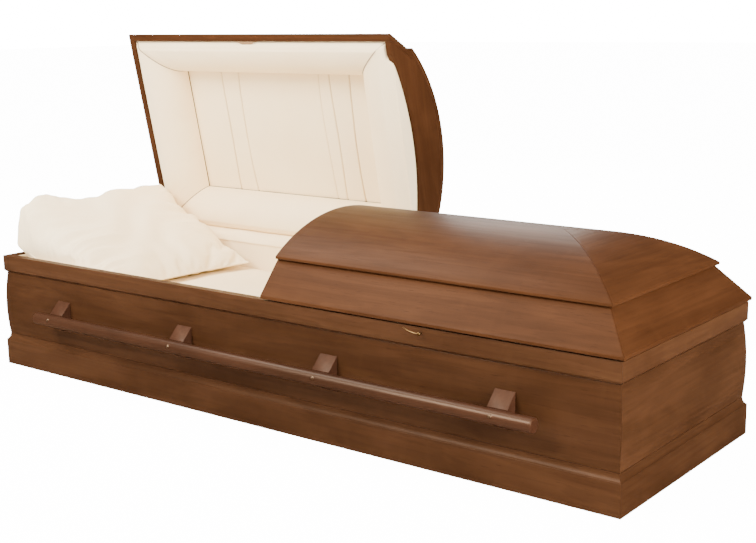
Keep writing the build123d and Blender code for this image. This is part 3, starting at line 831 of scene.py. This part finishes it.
def makePiping(lid, name, edge):
    # piped mitre seam: a cord that follows one end of a roll, just proud of it
    path = edge.copy()
    path[:, 2] -= lining["pipe"] * 0.4
    path = placeOf(lid)(path)
    cloth = [finishes["pipingCloth"]]
    piece = tubePiece(f"{lid}_piping_{name}", path, lining["pipe"], lining["pipeSides"], cloth)
    finishPiece(piece, f"{lid}_lid")


panel = {
    "steps": (520, 64),
    "under": 0.008,           # how far it runs under the split's roll
    "puff": 0.006,
    "back": 0.0075,           # depth of its flat back behind its edges
    "fade": 0.05,
    "wave": 0.0008,
    # place and strength of each tuck in the head lid; the foot lid has them mirrored about the split
    "tucks": [(-0.744, 1.0), (-0.667, 0.8), (-0.328, 0.45), (-0.286, 0.9), (-0.211, 1.3)],
    "mirror": 0.066,
    "lean": 0.004,            # how far a tuck wanders from a straight line
    "tuckDeep": 0.0075,
    "tuckWide": 0.00189,
    "lip": 0.0022,            # height of the lifted lip beside a tuck, and the runs it rises and falls in
    "lipRise": 0.006,
    "lipFall": 0.03,
    # the dark line in a tuck and the soft shade beside it are painted shade
    "line": 0.0017,           # width of the dark line in a tuck, and of the soft shade beside it
    "lineTone": 0.55,
    "shadeWide": 0.012,
    "shadeTone": 0.05,
}


def makePanel(lid, room):
    # Pleated panel: slightly puffed between its edges, with a narrow groove and a lifted lip at each tuck.
    innerSplit, innerEnd, innerY = room["inner"]
    rows, columns = panel["steps"]
    startX, finishX = sorted((innerSplit - room["end"] * panel["under"], innerEnd))
    x = np.linspace(startX, finishX, rows)[:, None] + np.zeros((1, columns))
    y = np.linspace(-innerY, innerY, columns)[None, :] + np.zeros((rows, 1))
    across = np.clip((finishX - x) * (x - startX) / (0.25 * (finishX - startX) ** 2), 0, 1)
    wide = np.clip(1 - (y / innerY) ** 2, 0, 1)
    puff = panel["puff"] * np.sqrt(across) * np.sqrt(wide)
    fade = smoothStep(innerY - np.abs(y), 0.0, panel["fade"])
    # tone is the painted shade of the tucks: a dark line along each, and a soft shade beside it
    tone = np.zeros_like(x)
    for place, strength in panel["tucks"]:
        centre = place if lid == "head" else -place + panel["mirror"]
        away = x - centre - panel["lean"] * np.sin(y * 9 + centre * 40)
        puff = puff - strength * panel["tuckDeep"] * np.exp(-((away / panel["tuckWide"]) ** 2))
        lip = np.exp(-np.clip(away, 0, None) / panel["lipFall"]) * smoothStep(away, 0.0, panel["lipRise"])
        puff = puff + panel["lip"] * strength * lip * (0.6 + 0.4 * fade)
        tone = tone + min(strength, 1.1) * panel["lineTone"] * np.exp(-((away / panel["line"]) ** 2))
        tone = tone + panel["shadeTone"] * strength * np.exp(-np.abs(away) / panel["shadeWide"])
    puff = puff + panel["wave"] * np.sin(x * 37 + 2 * np.sin(y * 6)) * np.sin(y * 5 + x * 9)
    level = room["rim"] + room["deep"]
    front = np.stack([x, y, level - puff], -1)
    back = front.copy()
    back[..., 2] = level + panel["back"]
    # the painted shade of the tucks rides in the third thread coordinate
    thread = np.stack([x, y, clothFigure["fullTuck"] * np.clip(tone, 0, 1)], -1)
    place = placeOf(lid)
    piece = padPiece(f"{lid}_panel_cloth", place(front), place(back), thread, [finishes["liningCloth"]])
    finishPiece(piece, f"{lid}_lid", [f"{lid}_lid_panel"])


def makeLidLining(lid):
    room = lidRoom(lid)
    faces = {side: makeRoll(lid, side, room) for side in ("front", "back", "split", "end")}
    for side in ("front", "back"):
        makePiping(lid, f"{side}_split", faces[side][0])
        makePiping(lid, f"{side}_end", faces[side][-1])
    makePanel(lid, room)


# cloth that hides the head lid's hinge
hingeCloth = {
    "steps": 120,
    "across": 14,
    "gap": 0.0015,            # clearance from the wall linings
    "below": 0.012,           # its lower edge hangs this far below the top of the back lining
    "tuckIn": 0.004,          # its upper edge lies this far inside the back roll, and above its rim
    "tuckUp": 0.006,
    "short": 0.002,
    "bulge": 0.013,
    "thick": 0.0008,
    "ripple": 0.0009,
}


def makeHingeCloth():
    # Section: from the top of the back lining straight to the back roll's edge, bowed towards the room by
    # half a sine, whose height wanders along the hinge.
    low, high = corners("lining_back")
    rollLow, rollHigh = shutBox("head_lid_roll_back")
    start = np.array([low[1] - hingeCloth["gap"], high[2] - hingeCloth["below"]])
    tucked = np.array([[0, rollHigh[1] - hingeCloth["tuckIn"], rollLow[2] + hingeCloth["tuckUp"]]])
    ends = openHead(tucked)[0, 1:]
    t = np.linspace(0, 1, hingeCloth["across"])[None, :]
    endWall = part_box("lining_head")[1][0] + hingeCloth["gap"]
    startX, finishX = max(rollLow[0] + hingeCloth["short"], endWall), rollHigh[0] - hingeCloth["short"]
    x = np.linspace(startX, finishX, hingeCloth["steps"])[:, None]
    reach = ends - start
    length = float(np.hypot(*reach))
    side = np.array([-reach[1], reach[0]]) / length
    bow = hingeCloth["bulge"] * np.sin(np.pi * t) * (1 + 0.15 * np.sin(x * 26 + 1.1 * np.sin(x * 9)))
    bow = bow + hingeCloth["ripple"] * np.sin(x * 88 + 4 * np.sin(x * 13)) * np.sin(np.pi * t)
    y = start[0] + reach[0] * t + side[0] * bow
    z = start[1] + reach[1] * t + side[1] * bow
    face = np.stack([x + 0 * t, y, z], -1)
    under = face - np.array([0, side[0], side[1]]) * hingeCloth["thick"]
    thread = np.stack([x + 0 * t, length * t + 0 * x, 0 * y], -1)
    piece = padPiece("hinge_cloth", face, under, thread, [finishes["liningCloth"]])
    centre = float((startX + finishX) / 2)
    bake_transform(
        piece, "casket", "head_lid",
        start=(centre, float(start[0]), float(start[1])), end=(centre, float(ends[0]), float(ends[1])),
    )


# lining of the walls: cloth over thin padding
wall = {
    "steps": 160,
    "rise": 40,
    "gather": 0.0012,
    "pitch": 0.055,
    "inside": 0.0012,         # its face stays this far inside the space it fills, and its back off the wood
    "offWood": 0.0005,
    "topShare": 0.35,         # thickness left at its top edge, as a share
    "endThin": 0.0015,
}


def makeWallLining(side):
    # A flat board whose face ripples with shallow gathers and rolls over by a quarter circle at the top.
    low, high = corners(f"lining_{side}")
    across = side in ("front", "back")
    run = (low[0], high[0]) if across else (low[1], high[1])
    s = np.linspace(run[0], run[1], wall["steps"])[:, None]
    t = np.linspace(0, 1, wall["rise"])[None, :]
    thick = (high[1] - low[1]) if across else (high[0] - low[0])
    inward = {"front": 1, "back": -1, "head": 1, "foot": -1}[side]
    outerFace = {"front": low[1], "back": high[1], "head": low[0], "foot": high[0]}[side]
    height = low[2] + (high[2] - low[2]) * t
    roll = np.sqrt(np.clip(1 - np.clip((height - (high[2] - thick)) / thick, 0, 1) ** 2, 0, 1))
    ripple = np.sin(s * 2 * np.pi / wall["pitch"] + 0.8 * np.sin(s * 11)) * (0.4 + 0.6 * t)
    full = thick - wall["inside"] + wall["gather"] * (ripple - 1) * 0.5
    depth = full * (wall["topShare"] + (1 - wall["topShare"]) * roll)
    if not across:
        depth = np.minimum(depth, wall["endThin"] + np.minimum(s - run[0], run[1] - s) + 0 * t)
    face = outerFace + inward * depth
    flat = outerFace + inward * wall["offWood"] + 0 * face
    along = s + 0 * t
    level = height + 0 * s
    if across:
        front = np.stack([along, face, level], -1)
        back = np.stack([along, flat, level], -1)
    else:
        front = np.stack([face, along, level], -1)
        back = np.stack([flat, along, level], -1)
    # the four boards are mitred where they meet
    if across:
        for grid in (front, back):
            inset = np.abs(grid[..., 1] - outerFace)
            grid[..., 0] = np.clip(grid[..., 0], run[0] + inset, run[1] - inset)
    thread = np.stack([along, level, 0 * along], -1)
    piece = padPiece(f"wall_cloth_{side}", front, back, thread, [finishes["liningCloth"]])
    finishPiece(piece, "casket", [f"lining_{side}"])


mattress = {
    "along": 220,
    "across": 90,
    "crowd": 1.35,            # above 1, it crowds the grid towards the edges
    "round": 0.030,
    "crown": 0.010,
    "shrink": 0.004,
    "below": 0.0026,
    "wave": 0.0016,
    "ripple": 0.0009,
    "lift": 0.001,
}


def crowdedSteps(steps, power):
    # from -1 to 1, closer together near both ends
    even = np.linspace(-1, 1, steps)
    return np.sign(even) * (1 - (1 - np.abs(even)) ** power)


def makeMattress():
    # Top: a low pillow shape, its edge rounded down to the walls; the underside is flat.
    low, high = corners("mattress")
    centre, half = (low + high) / 2, (high - low) / 2 - mattress["shrink"]
    u = crowdedSteps(mattress["along"], mattress["crowd"])[:, None]
    v = crowdedSteps(mattress["across"], mattress["crowd"])[None, :]
    x = centre[0] + half[0] * u + 0 * v
    y = centre[1] + half[1] * v + 0 * u
    edge = np.minimum(half[0] * (1 - np.abs(u)), half[1] * (1 - np.abs(v)))
    bend = np.clip(1 - edge / mattress["round"], 0, 1)
    drop = mattress["round"] * (1 - np.sqrt(1 - bend**2 * 0.98))
    hollow = mattress["crown"] * (1 - (1 - u**4) * (1 - v**4))
    soft = mattress["wave"] * np.sin(x * 9 + 2 * np.sin(y * 5)) * np.cos(y * 7 + x * 3)
    soft = soft + mattress["ripple"] * np.sin(x * 31 + y * 17) * np.sin(y * 23 - x * 8)
    z = high[2] - mattress["below"] - drop - hollow * 0.6 + soft * (1 - bend)
    front = np.stack([x, y, z], -1)
    back = front.copy()
    back[..., 2] = low[2] + mattress["lift"]
    thread = np.stack([x, y, 0 * x], -1)
    piece = padPiece("mattress_cloth", front, back, thread, [finishes["liningCloth"]])
    finishPiece(piece, "casket", ["mattress"])


pillow = {
    "steps": 96,
    "crowd": 1.3,             # above 1, it crowds the grid towards the seam
    "edge": 0.004,            # gap between its seam and the wall or the low edge of its room
    "headSeam": 0.118,        # seam above the mattress at the head, and at the low edge
    "footSeam": 0.016,
    "sideDrop": 0.045,        # how far the side seams sag below that line
    "loft": 0.128,            # rise of the top above the seam, just off the head wall
    "headSteep": 0.030,
    "taper": 0.80,            # power of the distance left to the low edge
    "square": 11.0,           # powers of its rounded section from side to side
    "blunt": 0.26,
    "ear": 0.020,             # the far head corner stands up, and the near one
    "nearEar": 0.024,
    "over": 0.008,            # how far it swells over the rim of the walls
    "overRun": 0.03,
    "pull": 0.014,            # how far the sides pull in between the corners
    "short": 0.032,           # the far low corner stops this much before its room's end
    "skew": 0.040,            # and the near one this much more
    "tipIn": 0.040,           # how far the far low corner stands in from the wall
    "crease": 0.0135,
    "seam": 0.0015,           # half the thickness of its edge
    "grow": 0.035,            # spare cloth, as a share
    "pressure": 1.6,
    "frames": 16,
    "cap": 0.014,             # the simulation may move a point this far
    "offWood": 0.0006,
    "settle": 0.006,          # distance over which it flattens on what it rests on
    "sideRoom": 0.0008,
    "keep": 0.26,             # share of its thickness that the shut lid leaves it
    "pipe": 0.0022,
    "pipeSides": 8,
}
pillowFabric = {
    "quality": 6,
    "mass": 0.12,
    "tension_stiffness": 12,
    "compression_stiffness": 12,
    "shear_stiffness": 4,
    "bending_stiffness": 0.35,
    "air_damping": 2,
    "use_pressure": True,
}
pillowFolds = {
    # waves across the pillow, how much the swirl bends them, and how strongly they show
    "ridges": (9.5, 0.6, 0.9),        # sharp ones that run in from the sides
    "puckers": (23, 1.2, 0.8),        # finer ones close to the side seams
    "ends": (17, 1.0, 1.0),           # soft ones at the low end, fainter at the head
    "headShare": 0.25,
    "slow": (7.3, 0.6, 0.35),
    "slowAlong": 6.1,
}


def simulateCloth(piece, held):
    # Blows a closed piece up with Cloth and gives the places of its points. Each point's move is limited
    # smoothly, by the hyperbolic tangent of its length over the cap.
    start = meshPoints(piece.data)
    piece.vertex_groups.new(name="held").add([int(i) for i in held], 1.0, "REPLACE")
    cloth = piece.modifiers.new("cloth", "CLOTH")
    settings = cloth.settings
    for name, value in pillowFabric.items():
        setattr(settings, name, value)
    settings.uniform_pressure_force = pillow["pressure"]
    settings.shrink_min = -pillow["grow"]
    settings.effector_weights.gravity = 0
    settings.vertex_group_mass = "held"
    for step in range(1, pillow["frames"] + 1):
        scene.frame_set(step)
    shaped = piece.evaluated_get(bpy.context.evaluated_depsgraph_get())
    result = meshPoints(shaped.data)
    scene.frame_set(1)
    piece.modifiers.remove(cloth)
    move = result - start
    length = np.linalg.norm(move, axis=1, keepdims=True)
    move *= pillow["cap"] * np.tanh(length / pillow["cap"]) / np.maximum(length, 1e-9)
    return start + move


def pillowCreases(u, v):
    # Height of the folds: one less twice a sine's size for the sharp ones and plain sines for the soft ones,
    # all bent by one slow swirl and each kept to its own part of the pillow.
    swirl = 3.1 * np.sin(2.1 * u + 1.7 * v) + 1.4 * np.sin(5.2 * v - 1.3 * u)
    nearSide = np.abs(v) ** 2.2 * (1 - np.abs(v) ** 9)
    nearEnd = np.abs(u) ** 3 * (1 - np.abs(u) ** 10)
    wave, bend, ridgeShare = pillowFolds["ridges"]
    ridges = 1 - 2 * np.abs(np.sin(wave * u + bend * swirl))
    wave, bend, puckerShare = pillowFolds["puckers"]
    puckers = 1 - 2 * np.abs(np.sin(wave * u + bend * swirl))
    crease = ridgeShare * ridges * nearSide + puckerShare * puckers * nearSide**2
    wave, bend, share = pillowFolds["ends"]
    endShare = share * np.where(u < 0, pillowFolds["headShare"], 1.0)
    crease = crease + np.sin(wave * v + bend * swirl) * nearEnd * endShare
    wave, bend, share = pillowFolds["slow"]
    return crease + share * np.sin(wave * v + pillowFolds["slowAlong"] * u + bend * swirl)


def pillowGrids(low, high):
    # Top and underside before the simulation. The seam runs round a square whose sides pull in between the
    # corners. The top rises almost straight up at the head, then falls by a power of the distance left.
    u = crowdedSteps(pillow["steps"], pillow["crowd"])[:, None]
    v = crowdedSteps(pillow["steps"], pillow["crowd"])[None, :]
    middle = (low + high) / 2
    halfLong, halfWide = (high[0] - low[0]) / 2 - pillow["edge"], (high[1] - low[1]) / 2 - pillow["edge"]
    footward = np.clip((1 + u) / 2, 0, 1) ** 1.5
    x = middle[0] + halfLong * u - pillow["pull"] * np.clip(u, 0, 1) * (1 - v**2)
    x = x - footward * (pillow["short"] + pillow["skew"] * (1 - v) / 2)
    y = middle[1] + halfWide * v - pillow["pull"] * 0.5 * v * (1 - u**2) * np.clip(1 + u, 0, 1)
    y = y - pillow["tipIn"] * footward * np.clip(v, 0, 1) ** 2
    left = (1 - u) / 2
    seam = low[2] + pillow["footSeam"] + (pillow["headSeam"] - pillow["footSeam"]) * left
    seam = seam - pillow["sideDrop"] * v**4 * left * (1 - left**6)
    rise = left ** pillow["taper"] * (1 - np.exp(-(1 + u) / pillow["headSteep"]))
    across = np.clip(1 - np.abs(v) ** pillow["square"], 0, 1) ** pillow["blunt"]
    top = pillow["loft"] * rise * across
    top = top + pillow["crease"] * pillowCreases(u, v) * across * smoothStep(rise, 0.0, 0.35)
    atHead = np.exp(-((u + 0.93) ** 2) / 0.05) * smoothStep(1 - np.abs(v), 0.0, 0.05)
    ears = pillow["ear"] * np.exp(-((v - 0.9) ** 2) / 0.10) + pillow["nearEar"] * smoothStep(-v, 0.2, 0.9)
    top = top + atHead * ears
    sag = np.sqrt(np.clip((1 - np.clip(u, 0, 1) ** 3) * (1 - u**8) * (1 - v**4), 0, 1))
    under = -(seam - low[2]) * sag
    front = np.stack([x + 0 * v, y + 0 * u, seam + top + pillow["seam"]], -1)
    back = np.stack([x + 0 * v, y + 0 * u, seam + under - pillow["seam"]], -1)
    thread = np.stack([halfLong * u + 0 * v, halfWide * v + 0 * u, 0 * x], -1)
    return front, back, thread


def settlePillow(points, low, high):
    # flattens it on the mattress and against the walls, and lets it swell over them above their top
    floor = low[2] + pillow["offWood"]
    points[:, 2] = floor + softFloor(points[:, 2] - floor, pillow["settle"])
    wallTop = float(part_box("lining_head")[1][2])
    over = pillow["over"] * smoothStep(points[:, 2] - wallTop, 0.0, pillow["overRun"])
    headWall = low[0] + pillow["offWood"] - over
    points[:, 0] = points[:, 0] - over
    points[:, 0] = headWall + softFloor(points[:, 0] - headWall, pillow["settle"])
    sideRoom = high[1] + pillow["sideRoom"] + over
    outwards = np.sign(points[:, 1]) * over * (np.abs(points[:, 1]) > 0.2)
    points[:, 1] = np.clip(points[:, 1] + outwards, -sideRoom, sideRoom)
    return points


def squashUnderLid(piece):
    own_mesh(piece)


def makePillow():
    # plump pillow leant in the head end, with a corded seam
    low, high = corners("pillow")
    front, back, thread = pillowGrids(low, high)
    piece = padPiece("pillow_cloth", front, back, thread, [finishes["pillowCloth"]])
    index = np.arange(front[..., 0].size).reshape(front.shape[:2])
    rim = np.unique(np.concatenate([index[0], index[-1], index[:, 0], index[:, -1]]))
    points = meshPoints(piece.data)
    points = simulateCloth(piece, np.concatenate([rim, rim + index.size]))
    piece.data.vertices.foreach_set("co", settlePillow(points, low, high).ravel())
    piece.data.update()
    finishPiece(piece, "casket", ["pillow"])
    smooth = piece.modifiers.new("rounding", "SUBSURF")
    smooth.levels = smooth.render_levels = 1
    bpy.context.view_layer.update()
    shaped = bpy.data.meshes.new_from_object(piece.evaluated_get(bpy.context.evaluated_depsgraph_get()))
    piece.modifiers.clear()
    piece.data = shaped
    squashUnderLid(piece)
    seamPath = np.concatenate([front[:, 0], front[-1, 1:], front[-2::-1, -1]])
    seamPath[:, 2] = np.maximum(seamPath[:, 2] - pillow["seam"], low[2] + pillow["pipe"])
    cloth = [finishes["pillowCloth"]]
    cord = tubePiece("pillow_piping", seamPath, pillow["pipe"], pillow["pipeSides"], cloth)
    finishPiece(cord, "casket")
    squashUnderLid(cord)


# hinge leaves and catch keep their CAD shape; screw heads are domes with a crossed recess
screw = {
    "radius": 0.0052,
    "height": 0.0028,
    "rings": 14,
    "sides": 40,
    "slot": 0.0009,
    "deep": 0.0012,
    "sunk": 0.0008,           # how far its rim lies inside the rod
    "sharpAngle": 35,
    "lean": 20,               # degrees that it looks up from level
    "brackets": 4,
}


def makeScrewHead(name, place, outward, body):
    # Dome over a disc: the height over a radius is a quarter of an ellipse, less a narrow cross cut near the
    # middle. A skirt carries the rim down into the rod.
    r = np.linspace(0.02, 1, screw["rings"])[:, None]
    turn = np.linspace(0, 2 * np.pi, screw["sides"], endpoint=False)[None, :]
    a, b = r * np.cos(turn), r * np.sin(turn)
    rise = screw["height"] * np.sqrt(np.clip(1 - 0.92 * r**2, 0, 1)) + 0 * turn
    cross = np.minimum(np.abs(a), np.abs(b)) * screw["radius"]
    cut = (1 - smoothStep(cross, screw["slot"] * 0.6, screw["slot"])) * (1 - smoothStep(r, 0.5, 0.62))
    rise = rise - screw["deep"] * cut
    side = np.cross(outward, (0.0, 0.0, 1.0))
    side /= np.linalg.norm(side)
    up = np.cross(side, outward)
    disc = screw["radius"] * (a[..., None] * side + b[..., None] * up)
    points = place + disc + rise[..., None] * outward
    skirt = points[-1:] - outward * (screw["height"] + 0.001)
    grid = np.concatenate([points, skirt])
    faces = tubeFaces(len(grid), screw["sides"])
    piece = pieceFrom(name, grid, faces, grid, [finishes["screwFinish"]], screw["sharpAngle"])
    return finishPiece(piece, body)


def makeMetal():
    for node, part in nodes.items():
        if node.endswith("_leaf"):
            finish = "hingeFinish"
        elif node.startswith("catch"):
            finish = "brassFinish"
        else:
            continue
        part.data.materials.clear()
        part.data.materials.append(finishes[finish])
    lean = math.radians(screw["lean"])
    for side, facing in (("front", -1), ("back", 1)):
        rodLow, rodHigh = corners(f"handle_rod_{side}")
        middle, radius = (rodLow + rodHigh) / 2, (rodHigh[2] - rodLow[2]) / 2
        outward = np.array([0, facing * math.cos(lean), math.sin(lean)])
        for index in range(1, screw["brackets"] + 1):
            low, high = corners(f"bracket_{side}_{index}")
            place = np.array([(low[0] + high[0]) / 2, middle[1], middle[2]])
            place = place + outward * (radius - screw["sunk"])
            makeScrewHead(f"handle_screw_{side}_{index}", place, outward, "casket")


makeCamera()
makeWorld()
makeFloor()
makeLights()
finishes = makeMaterials()
print("camera, studio and materials ready")
makeBoards()
print("boards ready")
makeMetal()
print("metal ready")
for lidName in ("head", "foot"):
    makeLidLining(lidName)
print("lid linings ready")
makeHingeCloth()
for sideName in ("front", "back", "head", "foot"):
    makeWallLining(sideName)
makeMattress()
print("walls and mattress ready")
makePillow()
print("pillow ready")
